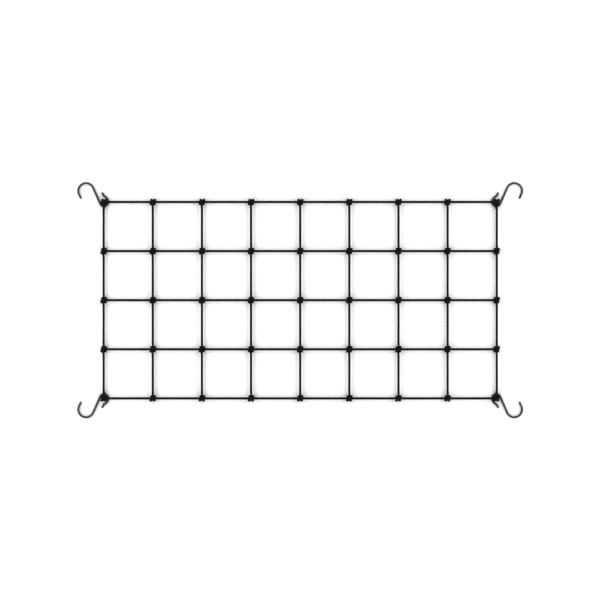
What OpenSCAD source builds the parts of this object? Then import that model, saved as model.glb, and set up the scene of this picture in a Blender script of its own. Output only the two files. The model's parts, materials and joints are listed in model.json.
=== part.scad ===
// Elastic cargo net lying flat, Z up. Shock cords cross in a square grid and each
// short cord is clove-hitched round every long cord. An open wire hook swivels in
// each corner. The origin is the middle of the net, on the surface it lies on.
// Long cords run along X, short cords along Y. All sizes are in millimetres.

/* [Net] */
// Distance between neighbouring cords, centre to centre
cell = 76; // [50:1:120]
// Cells along the long side
cells_x = 8; // [4:1:12]
// Cells along the short side
cells_y = 4; // [2:1:6]
// Gap in each long cord at the fold line
fold_gap = 1; // [0.6:0.1:2]

/* [Shock cord] */
// Outside diameter of the woven sheath
cord_d = 3.2; // [2.6:0.1:4.4]
// Thickness of the woven sheath
sheath_wall = 0.55; // [0.3:0.05:0.7]
// Play between the rubber core and the sheath
core_gap = 0.05; // [0.02:0.01:0.1]

/* [Knot] */
// Lean of the two turns, which meet under the long cord and part above it
turn_lean = 14; // [8:1:18]
// Play between a turn and the long cord inside it
turn_gap = 0.05; // [0.02:0.01:0.2]
// Angle of the riding strand from the long cord
ride_angle = 35; // [25:1:45]
// Height of the riding strand over the short cord, centre to centre
ride_lift = 2.6; // [1.6:0.1:3]

/* [Hook] */
// Diameter of the hook wire
wire_d = 3; // [2.2:0.1:3.6]
// Inside diameter of the big open loop
loop_id = 21; // [14:0.5:28]
// Turn of the big loop past the shank, all told
loop_turn = 180; // [150:1:200]
// Straight lead between the big loop and its tip
lead = 7.5; // [3:0.5:12]
// Distance between the centres of the big loop and the corner ring
hook_reach = 32.8; // [30:0.2:50]
// Direction of the big loop from the corner, up from the net's long side
hook_rise = 32; // [25:1:60]
// Bend radius of the ring where it widens into its tail
flare_r = 10; // [9:0.5:14]
// Turn of the widening bend
flare_turn = 58; // [45:1:65]
// Straight stretch of the tail between its two bends
tail_run = 1.5; // [1:0.1:5]
// Bend radius of the tail's reverse bend
tail_bend_r = 5; // [4:0.5:8]
// Turn of the reverse bend
tail_turn = 33; // [20:1:40]
// Straight stretch at the tail's tip
tail_tip = 3.3; // [1.5:0.1:5]
// Chamfer on the wire's cut ends
end_chamfer = 0.5; // [0.2:0.1:0.8]

/* [Corner eye] */
// Thickness of the flattened cord under the ring
eye_wall = 1.7; // [1.4:0.1:2.4]
// Running clearance of the ring in the eye, and under the long cord
ring_gap = 0.3; // [0.2:0.05:0.5]

/* [Hidden] */
$fn = 48;
cord_r = cord_d / 2;
bore_r = cord_r - sheath_wall;
core_r = bore_r - core_gap;
wire_r = wire_d / 2;

// Each turn is a leaning ring: turn_r is its centreline radius, and turn_x the place of
// its middle, so that the two turns stay apart by turn_gap under the long cord.
turn_r = (cord_d + turn_gap) / cos(turn_lean);
turn_x = cord_r + turn_gap / 2 + turn_r * sin(turn_lean);
turn_top_x = turn_x + turn_r * sin(turn_lean);
knot_reach = turn_r + cord_r;

// The corner ring runs round outside the knot's underside.
ring_r = knot_reach + wire_r;
loop_r = loop_id / 2 + wire_r;
hook_dir = 180 - hook_rise;
shank_off = asin((ring_r + loop_r) / hook_reach);
shank_dir = hook_dir - shank_off;
shank = hook_reach * cos(shank_off);

// Heights, from the flattened cord at the bottom to the riding strand on top
eye_r = wire_r + ring_gap + eye_wall;
wire_z = eye_r;
long_z = wire_z + wire_r + ring_gap + cord_r;
short_z = long_z + cord_d + turn_gap;
ride_z = short_z + ride_lift;

long_n = cells_y + 1;
short_n = cells_x + 1;
fold_after = floor(cells_x / 2) + 1;
fold_x = (fold_after - cells_x / 2 - 0.5) * cell;
long_end = (cells_x / 2) * cell + turn_top_x + cord_r;
short_end = (cells_y / 2) * cell + turn_r;
cap = 1;
band_half = 0.3;
band_proud = 0.03;

function short_x(i) = (i - 1 - cells_x / 2) * cell;
function long_y(j) = (j - 1 - cells_y / 2) * cell;

SIDES = ["left", "right"];
CORNERS = ["front_left", "front_right", "back_left", "back_right"];

// A rod along X from x0 to x1
module rod_x(x0, x1, r) {
    translate([x0, 0, 0]) rotate([0, 90, 0]) cylinder(r = r, h = x1 - x0);
}

// A rod along Y from y0 to y1
module rod_y(y0, y1, r) {
    translate([0, y0, 0]) rotate([-90, 0, 0]) cylinder(r = r, h = y1 - y0);
}

// Ends of one half of a long cord, from its closed end to the fold
function half_x0(side) = side == "left" ? -long_end : fold_x + fold_gap / 2;
function half_x1(side) = side == "left" ? fold_x - fold_gap / 2 : long_end;

// Woven sheath of half a long cord, open at the fold and closed at the edge
module long_sheath(j, side) {
    x0 = half_x0(side);
    x1 = half_x1(side);
    past = side == "left" ? 1 : -1;
    color("#232326") translate([0, long_y(j), long_z]) difference() {
        rod_x(x0, x1, cord_r);
        translate([past * cap, 0, 0]) rod_x(x0, x1, bore_r);
    }
}

// Rubber core of half a long cord
module long_core(j, side) {
    x0 = half_x0(side) + (side == "left" ? cap + core_gap : 0);
    x1 = half_x1(side) - (side == "left" ? 0 : cap + core_gap);
    color("#b9a67f") translate([0, long_y(j), long_z]) rod_x(x0, x1, core_r);
}

// One turn of the hitch round a long cord, leaning to its own side
module turn(side) {
    translate([side * turn_x, 0, 0]) rotate([0, side * turn_lean, 0]) rotate([0, 90, 0])
        rotate_extrude() translate([turn_r, 0]) circle(r = cord_r);
}

// Strand that rides over the short cord and dips into a turn at each end
module ride() {
    half = turn_top_x / cos(ride_angle);
    rotate([0, 0, ride_angle]) {
        rod_x(-half, half, cord_r);
        for (side = [-1, 1]) translate([side * half, 0, 0]) {
            sphere(r = cord_r);
            translate([0, 0, -ride_lift]) cylinder(r = cord_r, h = ride_lift);
        }
    }
}

// Clove hitch round a long cord, centred on that cord's axis
module hitch() {
    for (side = [-1, 1]) turn(side);
    translate([0, 0, ride_z - long_z]) ride();
}

// Cord doubled back under the ring, bored so that the ring slides round in it.
// It stands on the surface. inward is the direction from the knot to the net's middle.
module eye(inward) {
    difference() {
        rotate([90, 0, 90]) translate([0, 0, -cord_r]) linear_extrude(cord_d) {
            translate([inward * ring_r, wire_z]) circle(r = eye_r);
            translate([inward * ring_r - eye_r, wire_z]) square([2 * eye_r, short_z - wire_z]);
        }
        translate([0, 0, wire_z]) rotate([0, 0, inward * 90 - 30])
            rotate_extrude(angle = 60) translate([ring_r, 0]) circle(r = wire_r + ring_gap);
    }
}

// Woven sheath of a short cord, with its hitches, and its eyes on the edge cords
module short_sheath(i) {
    color("#232326") translate([short_x(i), 0, 0]) difference() {
        union() {
            translate([0, 0, short_z]) rod_y(-short_end, short_end, cord_r);
            for (j = [1:long_n]) translate([0, long_y(j), long_z]) hitch();
            if (i == 1 || i == short_n) {
                translate([0, long_y(1), 0]) eye(1);
                translate([0, long_y(long_n), 0]) eye(-1);
            }
        }
        translate([0, 0, short_z]) rod_y(-short_end + cap, short_end - cap, bore_r);
    }
}

// Rubber core of a short cord
module short_core(i) {
    inner = short_end - cap - core_gap;
    color("#b9a67f") translate([short_x(i), 0, short_z]) rod_y(-inner, inner, core_r);
}

// Short band that joins two lengths of wire, a hair proud of them
module band() rod_x(-band_half, band_half, wire_r + band_proud);

// Wire bent along a list of steps, starting at the origin towards +X, with its end cut.
// A step is [length, 0] for a straight run, or [radius, angle] for a bend, to the left
// when the angle is positive.
module wire(steps) {
    if (len(steps) == 0)
        rotate([0, 90, 0]) cylinder(r1 = wire_r, r2 = wire_r - end_chamfer, h = end_chamfer);
    else {
        first = steps[0];
        rest = [for (k = [1:1:len(steps) - 1]) steps[k]];
        angle = first[1];
        centre = angle == 0 ? 0 : first[0] * sign(angle);
        if (angle == 0) rod_x(0, first[0], wire_r);
        else
            translate([0, centre, 0]) rotate([0, 0, angle > 0 ? -90 : 90 + angle])
                rotate_extrude(angle = abs(angle)) translate([first[0], 0]) circle(r = wire_r);
        translate([angle == 0 ? first[0] : 0, centre, 0]) rotate([0, 0, angle])
            translate([0, -centre, 0]) {
                if (len(rest) > 0) band();
                wire(rest);
            }
    }
}

// Open wire hook, centred on its corner's knot: a ring under the knot whose tail flares
// away, a straight shank and a big open loop. hand is 1 at the back left corner, and -1
// gives its mirror image.
module corner_wire(hand) {
    translate([hand * ring_r, 0, wire_z]) {
        rotate([0, 0, 90]) band();
        rotate([0, 0, 90]) wire([
            [flare_r, hand * flare_turn], [tail_run, 0], [tail_bend_r, -hand * tail_turn],
            [tail_tip, 0]
        ]);
        rotate([0, 0, -90]) wire([
            [ring_r, hand * (shank_dir - 270)], [shank, 0], [loop_r, hand * loop_turn],
            [lead, 0]
        ]);
    }
}

// The hook of one corner: opposite corners hold the same hook, half a turn round
module hook(corner) {
    right = corner == "front_right" || corner == "back_right";
    front = corner == "front_left" || corner == "front_right";
    color("#4b4d50")
        translate([short_x(right ? short_n : 1), long_y(front ? 1 : long_n), 0])
            rotate([0, 0, front ? 180 : 0]) corner_wire(right == front ? 1 : -1);
}

for (j = [1:long_n], s = SIDES) {
    long_sheath(j, s);
    long_core(j, s);
}
for (i = [1:short_n]) {
    short_sheath(i);
    short_core(i);
}
for (c = CORNERS) hook(c);
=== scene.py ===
import json
import math

import bpy
import numpy as np
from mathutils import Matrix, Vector


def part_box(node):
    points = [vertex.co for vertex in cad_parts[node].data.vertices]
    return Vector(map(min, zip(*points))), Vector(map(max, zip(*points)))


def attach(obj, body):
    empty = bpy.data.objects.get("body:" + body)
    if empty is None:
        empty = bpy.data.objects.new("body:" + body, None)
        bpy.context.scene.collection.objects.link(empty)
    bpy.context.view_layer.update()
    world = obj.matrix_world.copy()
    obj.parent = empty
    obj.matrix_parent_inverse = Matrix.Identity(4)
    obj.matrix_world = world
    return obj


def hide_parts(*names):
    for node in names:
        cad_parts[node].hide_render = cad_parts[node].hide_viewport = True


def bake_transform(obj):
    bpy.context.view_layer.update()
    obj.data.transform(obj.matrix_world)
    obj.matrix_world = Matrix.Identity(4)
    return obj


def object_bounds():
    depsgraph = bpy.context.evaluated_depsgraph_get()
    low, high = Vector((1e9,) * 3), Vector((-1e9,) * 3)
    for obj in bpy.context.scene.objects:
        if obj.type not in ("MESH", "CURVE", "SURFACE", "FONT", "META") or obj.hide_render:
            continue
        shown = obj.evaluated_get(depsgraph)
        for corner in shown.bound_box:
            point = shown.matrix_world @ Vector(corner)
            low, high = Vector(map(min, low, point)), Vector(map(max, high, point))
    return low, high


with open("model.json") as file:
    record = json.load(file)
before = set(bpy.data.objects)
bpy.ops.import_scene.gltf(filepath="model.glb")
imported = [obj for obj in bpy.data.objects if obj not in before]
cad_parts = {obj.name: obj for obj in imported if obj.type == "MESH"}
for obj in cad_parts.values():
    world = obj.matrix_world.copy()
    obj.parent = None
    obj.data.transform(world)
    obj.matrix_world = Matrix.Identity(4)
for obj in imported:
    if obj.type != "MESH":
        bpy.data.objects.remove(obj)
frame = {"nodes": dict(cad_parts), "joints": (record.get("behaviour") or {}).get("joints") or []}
cad_low, cad_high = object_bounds()
bpy.ops.object.select_all(action="DESELECT")

# --- Camera, lamps and floor -------------------------------------------------------------
# The net lies flat on a white table. The camera looks straight down through a long lens,
# and two long soft lamps in a white room leave only a pale halo of shadow by each cord.
VIEW_WIDTH = 0.9282
LENS = 135.0
SENSOR = 36.0
CORD_LEVEL = 0.009

camera_data = bpy.data.cameras.new("table_camera")
camera_data.lens = LENS
camera_data.sensor_width = SENSOR
camera = bpy.data.objects.new("table_camera", camera_data)
camera.location = (-0.0003, 0.0003, CORD_LEVEL + VIEW_WIDTH * LENS / SENSOR)
bpy.context.scene.collection.objects.link(camera)
bpy.context.scene.camera = camera

bpy.ops.mesh.primitive_plane_add(size=40.0, location=(0, 0, cad_low.z - 0.0004))
table = bpy.context.object
table.name = "table_top"
table_white = bpy.data.materials.new("table_white")
table_white.use_nodes = True
table_shader = table_white.node_tree.nodes["Principled BSDF"]
table_shader.inputs["Base Color"].default_value = (0.94, 0.94, 0.94, 1)
table_shader.inputs["Roughness"].default_value = 0.9
table_shader.inputs["Specular IOR Level"].default_value = 0.0
table.data.materials.append(table_white)


def soft_box(name, x):
    """A long soft lamp beside the net, pointing straight down at the table."""
    data = bpy.data.lights.new(name, "AREA")
    data.shape = "RECTANGLE"
    data.size, data.size_y = 0.8, 3.2
    data.spread = math.radians(105)
    data.energy = 8.7
    lamp = bpy.data.objects.new(name, data)
    lamp.location = (x, 0, 1.4)
    bpy.context.scene.collection.objects.link(lamp)


soft_box("left_lamp", -0.85)
soft_box("right_lamp", 0.85)
room = bpy.data.worlds.new("white_room")
room.use_nodes = True
room.node_tree.nodes["Background"].inputs["Color"].default_value = (1, 1, 1, 1)
room.node_tree.nodes["Background"].inputs["Strength"].default_value = 0.78
bpy.context.scene.world = room
bpy.context.scene.view_settings.view_transform = "Standard"
bpy.context.scene.view_settings.gamma = 0.68


# --- Long cords --------------------------------------------------------------------------
# Five lengths of eighth-inch shock cord run the whole length of the net, each one piece:
# a core of rubber threads in a tight sheath, braided from twelve bundles of black
# polyester yarn. The ends are sealed with heat and stop inside the last knots.
MM = 0.001
SIDES = 30
RING_STEP = 0.32 * MM
BUNDLES = 6
FILAMENTS = 6
BRAID_PITCH = 9.6 * MM
BRAID_PHASE = 0.1
BRAID_RELIEF = 0.17 * MM
CORE_SIDES = 12
CORE_STEP = 1.2 * MM
CORE_THREADS = 14
CORE_SETBACK = 1.1 * MM
ROUTE_POINTS = 30
FOLD_SPAN = 18 * MM


def middle(node):
    low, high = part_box(node)
    return (low + high) / 2


def half_height(node):
    low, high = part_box(node)
    return (high.z - low.z) / 2


def even_line(points, step):
    """Evenly spaced points on a smooth curve through the given points, whose columns past
    the first three are carried along, and each one's distance along it."""
    p = np.array(points, float)
    p = np.vstack([2 * p[0] - p[1], p, 2 * p[-1] - p[-2]])
    curve = []
    for k in range(1, len(p) - 2):
        a, b, c, d = p[k - 1:k + 3]
        count = max(4, int(3 * np.linalg.norm((c - b)[:3]) / step))
        t = np.linspace(0, 1, count, endpoint=False)[:, None]
        curve.append(b + 0.5 * t * (c - a + t * (2 * a - 5 * b + 4 * c - d + t * (3 * (b - c) + d - a))))
    curve = np.vstack([*curve, p[-2:-1]])
    gone = np.concatenate([[0], np.cumsum(np.linalg.norm(np.diff(curve[:, :3], axis=0), axis=1))])
    places = np.linspace(0, gone[-1], max(3, round(gone[-1] / step)) + 1)
    return np.stack([np.interp(places, gone, column) for column in curve.T], axis=1), places


def carried_frame(line):
    """Two unit vectors across the line at each point, carried along it without a twist."""
    ahead = np.gradient(line, axis=0)
    ahead /= np.linalg.norm(ahead, axis=1)[:, None]
    across = np.zeros_like(line)
    side = np.array([0, 0, 1.0])
    for k, way in enumerate(ahead):
        side = side - way * (side @ way)
        side /= np.linalg.norm(side)
        across[k] = side
    return across, np.cross(ahead, across)


def braid_height(angle, place):
    """Height of the braid, 0 to 1: bundles of two slants, each over two and under two."""
    turn = BUNDLES * angle / (2 * math.pi) + BRAID_PHASE
    along = BUNDLES * place / BRAID_PITCH + BRAID_PHASE
    one, two = turn + along, turn - along
    count = (np.floor(one) + np.floor(two)) % 4
    across = np.where(count < 2, one % 1, two % 1)
    float_place = np.where(count < 2, count + two % 1, count - 2 + one % 1)
    return np.sin(math.pi * across) ** 0.6 * (0.5 + 0.5 * np.sin(math.pi / 2 * float_place))


def tube(name, points, radius, sides, step, relief):
    """A closed round cord along the points, each (x, y, z, thickness), where thickness is 1
    for a round cord and less where it is pressed flat. Its UV map holds the turn round the
    cord and the metres along it."""
    line, places = even_line(points, step)
    across, beside = carried_frame(line[:, :3])
    angle = np.linspace(0, 2 * math.pi, sides, endpoint=False)
    height = braid_height(angle[None, :], places[:, None])
    from_end = np.minimum(places, places[-1] - places)
    rounded = np.sqrt(np.clip(1 - np.clip(1 - from_end / radius, 0, 1) ** 2, 0.03, 1))
    reach = (radius - relief * (1 - height)) * rounded[:, None]
    thin = line[:, 3:4]
    wide = 1 + 0.2 * (1 - thin)
    rings = (line[:, None, :3] + across[:, None, :] * (reach * np.cos(angle) * thin)[:, :, None]
             + beside[:, None, :] * (reach * np.sin(angle) * wide)[:, :, None])
    count = len(line)
    verts = np.vstack([rings.reshape(-1, 3), line[0, :3], line[-1, :3]])
    here = np.arange(sides)
    after = (here + 1) % sides
    row = np.arange(count - 1)[:, None] * sides
    quads = np.stack([row + here, row + after, row + sides + after, row + sides + here], axis=2)
    start, end, last = count * sides, count * sides + 1, (count - 1) * sides
    caps = np.vstack([np.stack([here * 0 + start, after, here], axis=1),
                      np.stack([here * 0 + end, last + here, last + after], axis=1)])
    mesh = bpy.data.meshes.new(name)
    mesh.vertices.add(len(verts))
    mesh.vertices.foreach_set("co", verts.astype(np.float32).ravel())
    corners = np.concatenate([quads.ravel(), caps.ravel()]).astype(np.int32)
    faces = quads.shape[0] * quads.shape[1] + len(caps)
    sizes = np.concatenate([np.full(faces - len(caps), 4), np.full(len(caps), 3)])
    mesh.loops.add(len(corners))
    mesh.loops.foreach_set("vertex_index", corners)
    mesh.polygons.add(faces)
    mesh.polygons.foreach_set("loop_start", np.concatenate([[0], np.cumsum(sizes)[:-1]]).astype(np.int32))
    mesh.polygons.foreach_set("use_smooth", np.ones(faces, bool))
    mesh.update(calc_edges=True)
    u = np.stack([here, here + 1, here + 1, here], axis=1) / sides
    v = np.stack([places[:-1], places[:-1], places[1:], places[1:]], axis=1)
    uv = np.stack([np.broadcast_to(u[None], (count - 1, sides, 4)),
                   np.broadcast_to(v[:, None], (count - 1, sides, 4))], axis=3)
    cap_v = np.repeat([places[0], places[-1]], sides * 3)
    uv = np.concatenate([uv.ravel(), np.stack([cap_v * 0, cap_v], axis=1).ravel()])
    layer = mesh.uv_layers.new(name="cord")
    layer.data.foreach_set("uv", uv.astype(np.float32))
    mesh.validate()
    cord = bpy.data.objects.new(name, mesh)
    bpy.context.scene.collection.objects.link(cord)
    return cord


class Signal:
    """A shader socket that Python can do arithmetic on. Each operation adds a Math node."""

    def __init__(self, tree, socket=None):
        self.tree, self.socket = tree, socket

    def node(self, kind, settings, inputs, out=0):
        made = self.tree.nodes.new(kind)
        for key, value in settings.items():
            setattr(made, key, value)
        for key, value in inputs.items():
            self.into(made.inputs[key], value)
        return Signal(self.tree, made.outputs[out])

    def into(self, socket, value):
        if isinstance(value, Signal):
            self.tree.links.new(value.socket, socket)
        else:
            socket.default_value = value

    def math(self, operation, *values):
        return self.node("ShaderNodeMath", {"operation": operation}, dict(enumerate(values)))

    def __add__(self, other):
        return self.math("ADD", self, other)

    def __sub__(self, other):
        return self.math("SUBTRACT", self, other)

    def __rsub__(self, other):
        return self.math("SUBTRACT", other, self)

    def __mul__(self, other):
        return self.math("MULTIPLY", self, other)

    def __mod__(self, other):
        return self.math("FLOORED_MODULO", self, other)

    __radd__, __rmul__ = __add__, __mul__

    def mix_colour(self, low, high):
        return self.node("ShaderNodeMix", {"data_type": "RGBA"}, {0: self, 6: low, 7: high}, out=2)

    def noise(self, place, scale, detail=3.0):
        return self.node("ShaderNodeTexNoise", {}, {"Vector": place, "Scale": scale, "Detail": detail})


def new_finish(name, roughness, specular):
    """A named material, its shader node, and a bare signal to build its nodes with."""
    finish = bpy.data.materials.new(name)
    finish.use_nodes = True
    shader = finish.node_tree.nodes["Principled BSDF"]
    shader.inputs["Roughness"].default_value = roughness
    shader.inputs["Specular IOR Level"].default_value = specular
    return finish, shader, Signal(finish.node_tree)


def black_braid():
    """Black polyester braid: dull crevices painted darker still as painted shade, slightly glossier
    yarn on the crowns, and six filaments to a bundle."""
    finish, shader, make = new_finish("black_polyester_braid", 0.6, 0.16)
    shader.inputs["Sheen Weight"].default_value = 0.03
    shader.inputs["Sheen Roughness"].default_value = 0.4
    place = make.node("ShaderNodeUVMap", {"uv_map": "cord"}, {})
    turn = make.node("ShaderNodeSeparateXYZ", {}, {0: place}) * BUNDLES + BRAID_PHASE
    metres = make.node("ShaderNodeSeparateXYZ", {}, {0: place}, out=1)
    along = metres * (BUNDLES / BRAID_PITCH) + BRAID_PHASE
    one, two = turn + along, turn - along
    count = (make.math("FLOOR", one) + make.math("FLOOR", two)) % 4
    under = make.math("GREATER_THAN", count, 1.5)
    across = (1 - under) * (one % 1) + under * (two % 1)
    float_place = (1 - under) * (count + two % 1) + under * (count - 2 + one % 1)
    ridge = make.math("SINE", math.pi * across) * (0.5 + 0.5 * make.math("SINE", math.pi / 2 * float_place))
    filament = make.math("SINE", across * (FILAMENTS * 2 * math.pi))
    spot = make.node("ShaderNodeTexCoord", {}, {}, out=3)
    wear = make.noise(spot, 60.0)
    fibre = make.noise(spot, 2500.0)
    # Colour runs from near black where the braid lies low to dark grey on the crowns: painted shade in the
    # crevices, with mottling, filaments and fibre grain on top.
    painted_crevice_shade_and_grain = ridge * (0.6 + 0.3 * wear + 0.12 * filament) + 0.2 * (fibre - 0.5)
    make.into(shader.inputs["Base Color"],
              painted_crevice_shade_and_grain.mix_colour((0.004, 0.004, 0.0044, 1), (0.051, 0.051, 0.054, 1)))
    make.into(shader.inputs["Roughness"], 0.72 - 0.2 * ridge + 0.12 * wear)
    make.into(shader.inputs["Normal"], make.node("ShaderNodeBump", {}, {
        "Height": ridge + 0.12 * filament * ridge + 0.15 * fibre, "Strength": 0.8, "Distance": 0.08 * MM}))
    return finish


def latex_core():
    """Natural rubber threads, packed side by side, that run along the cord."""
    finish, shader, make = new_finish("natural_rubber_threads", 0.55, 0.4)
    place = make.node("ShaderNodeUVMap", {"uv_map": "cord"}, {})
    turn = make.node("ShaderNodeSeparateXYZ", {}, {0: place})
    thread = 0.5 + 0.5 * make.math("SINE", turn * (CORE_THREADS * 2 * math.pi))
    spot = make.node("ShaderNodeTexCoord", {}, {}, out=3)
    dust = make.noise(spot, 900.0)
    make.into(shader.inputs["Base Color"],
              (0.7 * thread + 0.3 * dust).mix_colour((0.30, 0.22, 0.12, 1), (0.56, 0.45, 0.29, 1)))
    make.into(shader.inputs["Roughness"], 0.5 + 0.25 * dust)
    make.into(shader.inputs["Normal"], make.node("ShaderNodeBump", {}, {
        "Height": thread, "Strength": 0.5, "Distance": 0.05 * MM}))
    return finish


braid_finish, core_finish = black_braid(), latex_core()
LONG_COUNT = sum(name.startswith("long_sheath_") for name in frame["nodes"]) // 2
CORD_R = half_height("long_sheath_1_left")
SHEATH_R = CORD_R + BRAID_RELIEF / 2
CORE_R = half_height("long_core_1_left")
LONG_Z = middle("long_sheath_1_left").z
fold_x = next(joint for joint in frame["joints"] if joint["name"] == "net_fold")["pos_m"][0]
for j in range(1, LONG_COUNT + 1):
    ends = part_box(f"long_sheath_{j}_left")[0].x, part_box(f"long_sheath_{j}_right")[1].x
    y = middle(f"long_sheath_{j}_left").y
    for part, radius, sides, step, relief, finish, back in (
            ("cord", SHEATH_R, SIDES, RING_STEP, BRAID_RELIEF, braid_finish, 0),
            ("core", CORE_R, CORE_SIDES, CORE_STEP, 0, core_finish, CORE_SETBACK)):
        kind = "sheath" if part == "cord" else "core"
        route = [(x, y, LONG_Z, 1) for x in np.linspace(ends[0] + back, ends[1] - back, ROUTE_POINTS)]
        run = tube(f"long_{part}_{j}", route, radius, sides, step, relief)
        run.data.materials.append(finish)
        fold_x - FOLD_SPAN
        fold_x + FOLD_SPAN
        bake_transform(run)
        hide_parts(f"long_{kind}_{j}_left", f"long_{kind}_{j}_right")


# --- Short cords -------------------------------------------------------------------------
# Nine lengths of the same cord run across the net, and each is tied round every long cord
# with a clove hitch, pulled tight. Where a hook hangs, the end is doubled back under its
# ring, pressed flat there, and stitched up into the cord.
HITCH_HALF = [
    (0, 0, 6.4), (-2.6, -1.9, 5.4), (-3.6, -3.6, 1.5), (-3.0, -3.4, -1.5), (-2.3, -1.2, -3.8),
    (-1.9, 1.2, -3.8), (-1.8, 3.6, -1.2), (-1.8, 3.2, 1.9), (-1.8, 0, 3.6), (-1.6, -3.2, 3.5),
    (-0.8, -7, 3.35), (0, -11, 3.25), (0, -14, 3.25),
]
EYE = [
    (-1.2, 2.9, 0.8), (-2.6, 1.75, 0.6), (-4.4, 0.98, 0.5), (-6.45, 0.86, 0.5), (-8.2, 1.4, 0.5),
    (-9.1, 3.3, 0.52), (-9.2, 5.3, 0.6), (-9.6, 6.9, 0.75), (-11.0, 7.9, 0.85), (-13.2, 9.0, 0.7),
]
PULL_STEP = 0.8
PULL_ROUNDS = 500
SPAN_POINTS = 60
END_PAST = 4.6 * MM
EYE_SLIM = 0.95
HITCH_NARROW = 0.9
HITCH_TALL = 1.08


def clove_hitch(width):
    """The line of a cord of that width, tied round a long cord that lies along X: the rough
    turns are pulled tight until they lie on the long cord and on each other, and then the
    two turns are squeezed together along the long cord."""
    half = np.array(HITCH_HALF, float)
    rough = np.vstack([half[:0:-1] * (-1, -1, 1), half])
    line, _ = even_line(rough, PULL_STEP)
    ends = line[0].copy(), line[-1].copy()
    for _ in range(PULL_ROUNDS):
        line[1:-1] += 0.5 * ((line[:-2] + line[2:]) / 2 - line[1:-1])
        guide = 0.12 * np.clip(np.abs(line[:, 1]) / width - 1.6, 0, 2)
        line[:, 0] *= 1 - guide
        line[:, 2] += guide * (ends[0][2] - line[:, 2])
        apart = line[:, None] - line[None]
        space = np.linalg.norm(apart, axis=2)
        index = np.arange(len(line))
        near = (np.abs(index[:, None] - index) * PULL_STEP > 1.6 * width) & (space < width)
        push = np.where(near, (width - space) / np.maximum(space, 1e-6), 0)
        line += 0.25 * (push[:, :, None] * apart).sum(axis=1)
        off = np.hypot(line[:, 1], line[:, 2])
        line[:, 1:] *= np.maximum(1, width / off)[:, None]
        line[0], line[-1] = ends
        line, _ = even_line(line, PULL_STEP)
    return line * (HITCH_NARROW, HITCH_TALL, 1)


SHORT_COUNT = sum(name.startswith("short_sheath_") for name in frame["nodes"])
hitch = clove_hitch(2 * CORD_R / MM)
long_y = [middle(f"long_sheath_{j}_left").y for j in range(LONG_COUNT, 0, -1)]
for i in range(1, SHORT_COUNT + 1):
    x = middle(f"short_sheath_{i}").x
    points = []
    for y in long_y:
        tied = [(x + MM * a, y + MM * b, LONG_Z + MM * c, 1) for a, b, c in hitch]
        if points:
            points += np.linspace(points[-1], tied[0], SPAN_POINTS)[1:-1].tolist()
        points += tied
    start = next(k for k, p in enumerate(points) if p[1] < long_y[0] + END_PAST)
    end = next(k for k, p in enumerate(points[::-1]) if p[1] > long_y[-1] - END_PAST)
    points = points[start:len(points) - end]
    cord = tube(f"short_cord_{i}", points, SHEATH_R, SIDES, RING_STEP, BRAID_RELIEF)
    cord.data.materials.append(braid_finish)
    body = "net_left" if x < fold_x else "net_right"
    bpy.ops.object.select_all(action="DESELECT")
    if i in (1, SHORT_COUNT):
        eyes = [tube(f"eye_{i}_{side}", [(x, y - side * MM * a, MM * b, c) for a, b, c in EYE],
                     EYE_SLIM * SHEATH_R, SIDES, RING_STEP, BRAID_RELIEF)
                for side, y in ((-1, long_y[0]), (1, long_y[-1]))]
        for eye in eyes:
            eye.data.materials.append(braid_finish)
            eye.select_set(True)
        cord.select_set(True)
        bpy.context.view_layer.objects.active = cord
        bpy.ops.object.join()
        bpy.ops.object.select_all(action="DESELECT")
    core = tube(f"short_core_{i}_threads", points[2:-2], CORE_R, CORE_SIDES, CORE_STEP, 0)
    core.data.materials.append(core_finish)
    for piece, kind in ((cord, "sheath"), (core, "core")):
        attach(piece, body)
        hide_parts(f"short_{kind}_{i}")


# --- Corner hooks ------------------------------------------------------------------------
# Four open hooks bent cold from three-millimetre steel wire, painted dark grey. One end is
# a ring round the underside of the corner knot, the other a big open loop. The cut ends
# are tumbled, and rubbing has worn their paint.
WIRE_R = 1.5 * MM
WIRE_SIDES = 32
BEND_STEP = math.radians(4)
RING_R = 6.45 * MM
LOOP_R = 12 * MM
REACH = 32.8 * MM
RISE = math.radians(32)
LOOP_TURN = math.pi
LEAD = 7.5 * MM
FLARE_R = 10 * MM
FLARE_TURN = math.radians(58)
TAIL_RUN = 1.5 * MM
TAIL_BEND_R = 5 * MM
TAIL_TURN = math.radians(33)
TAIL_TIP = 3.3 * MM
WIRE_Z = 3.5 * MM
TIP_RINGS = [(0.28, 0.97), (0.18, 0.88), (0.08, 0.74)]


def wire_end(at, way):
    """Selects the open end of the wire that lies at that point, across that way."""
    mesh = bpy.context.object.data
    bpy.ops.object.mode_set(mode="OBJECT")
    for kind in (mesh.vertices, mesh.edges, mesh.polygons):
        kind.foreach_set("select", np.zeros(len(kind), bool))
    for vertex in mesh.vertices:
        off = vertex.co - at
        vertex.select = off.length < WIRE_R * 1.01 and abs(off.dot(way)) < 1e-6
    bpy.ops.object.mode_set(mode="EDIT")


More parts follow.
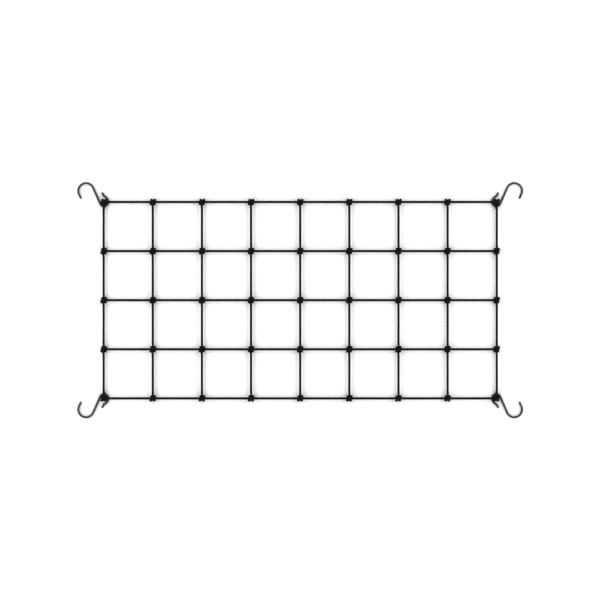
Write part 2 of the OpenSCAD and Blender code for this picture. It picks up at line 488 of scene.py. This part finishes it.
def bend_wire(start, heading, steps):
    """Bends on from the open end at start: a step is (length, 0) for a straight run, or
    (radius, angle) for a bend, to the left when the angle is positive."""
    at, angle = Vector(start), heading
    wire_end(at, Vector((math.cos(angle), math.sin(angle), 0)))
    for size, turn in steps:
        way = Vector((math.cos(angle), math.sin(angle), 0))
        if turn:
            side = Vector((-way.y, way.x, 0)) * math.copysign(size, turn)
            centre = at + side
            bpy.ops.mesh.spin(steps=max(3, round(abs(turn) / BEND_STEP)), angle=-turn, center=centre,
                              axis=(0, 0, 1))
            angle += turn
            way = Vector((math.cos(angle), math.sin(angle), 0))
            at = centre - Vector((-way.y, way.x, 0)) * math.copysign(size, turn)
        else:
            bpy.ops.mesh.extrude_region_move(TRANSFORM_OT_translate={"value": way * size})
            at += way * size
    for length, share in TIP_RINGS:
        bpy.ops.mesh.extrude_region_move(TRANSFORM_OT_translate={"value": way * length * MM})
        at += way * length * MM
        bpy.ops.transform.resize(value=(share, share, share), center_override=at)
    bpy.ops.mesh.edge_face_add()
    return at


def bent_hook():
    """The hook of the back left corner, centred on its knot, modelled as one bent wire."""
    bpy.ops.mesh.primitive_circle_add(vertices=WIRE_SIDES, radius=WIRE_R, location=(RING_R, 0, WIRE_Z),
                                      rotation=(math.pi / 2, 0, 0))
    bpy.ops.object.transform_apply()
    shank_off = math.asin((RING_R + LOOP_R) / REACH)
    shank_dir = math.pi - RISE - shank_off
    start = (RING_R, 0, WIRE_Z)
    bpy.ops.object.mode_set(mode="EDIT")
    tips = [
        bend_wire(start, math.pi / 2, [(FLARE_R, FLARE_TURN), (TAIL_RUN, 0),
                                       (TAIL_BEND_R, -TAIL_TURN), (TAIL_TIP, 0)]),
        bend_wire(start, -math.pi / 2, [(RING_R, shank_dir - 1.5 * math.pi),
                                        (REACH * math.cos(shank_off), 0), (LOOP_R, LOOP_TURN), (LEAD, 0)]),
    ]
    bpy.ops.mesh.select_all(action="SELECT")
    bpy.ops.mesh.remove_doubles(threshold=1e-6)
    bpy.ops.mesh.normals_make_consistent(inside=False)
    bpy.ops.object.mode_set(mode="OBJECT")
    hook = bpy.context.object
    bpy.ops.object.shade_smooth_by_angle(angle=math.radians(40))
    rub = hook.data.attributes.new("rub", "FLOAT", "POINT")
    rub.data.foreach_set("value", [
        max(0.0, 1 - min((v.co - tip).length for tip in tips) / (4 * MM)) for v in hook.data.vertices])
    return hook


def hook_paint():
    """Dark grey paint on drawn wire: satin, faintly mottled, worn to steel at the tips."""
    finish, shader, make = new_finish("dark_grey_wire_paint", 0.38, 0.35)
    spot = make.node("ShaderNodeTexCoord", {}, {}, out=3)
    mottle, grain = make.noise(spot, 180.0), make.noise(spot, 2600.0)
    rub = make.node("ShaderNodeAttribute", {"attribute_name": "rub"}, {}, out=2)
    worn = make.math("MINIMUM", 1, make.math("MAXIMUM", 0, (rub + 0.9 * mottle - 1.05) * 6))
    paint = (0.6 * mottle + 0.4 * grain).mix_colour((0.074, 0.076, 0.080, 1), (0.107, 0.110, 0.116, 1))
    make.into(shader.inputs["Base Color"], make.node("ShaderNodeMix", {"data_type": "RGBA"}, {
        0: worn, 6: paint, 7: (0.30, 0.30, 0.31, 1)}, out=2))
    make.into(shader.inputs["Metallic"], worn)
    make.into(shader.inputs["Roughness"], 0.34 + 0.16 * mottle + 0.1 * grain)
    make.into(shader.inputs["Normal"], make.node("ShaderNodeBump", {}, {
        "Height": 0.7 * mottle + 0.3 * grain, "Strength": 0.25, "Distance": 0.05 * MM}))
    return finish


pattern = bent_hook()
pattern.data.materials.append(hook_paint())
for corner, across, up in (("back_left", 1, 1), ("back_right", -1, 1),
                           ("front_left", 1, -1), ("front_right", -1, -1)):
    pivot = next(joint for joint in frame["joints"] if joint["name"] == f"{corner}_hook_swivel")["pos_m"]
    hook = pattern.copy()
    hook.data = pattern.data.copy()
    hook.name = f"{corner}_wire_hook"
    bpy.context.scene.collection.objects.link(hook)
    bpy.ops.object.select_all(action="DESELECT")
    hook.select_set(True)
    bpy.context.view_layer.objects.active = hook
    hook.scale = (across, up, 1)
    hook.location = (pivot[0], pivot[1], 0)
    bpy.ops.object.transform_apply()
    bpy.ops.object.mode_set(mode="EDIT")
    bpy.ops.mesh.select_all(action="SELECT")
    bpy.ops.mesh.normals_make_consistent(inside=False)
    bpy.ops.object.mode_set(mode="OBJECT")
    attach(hook, f"{corner}_swivel")
    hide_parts(f"{corner}_hook")
bpy.data.objects.remove(pattern)
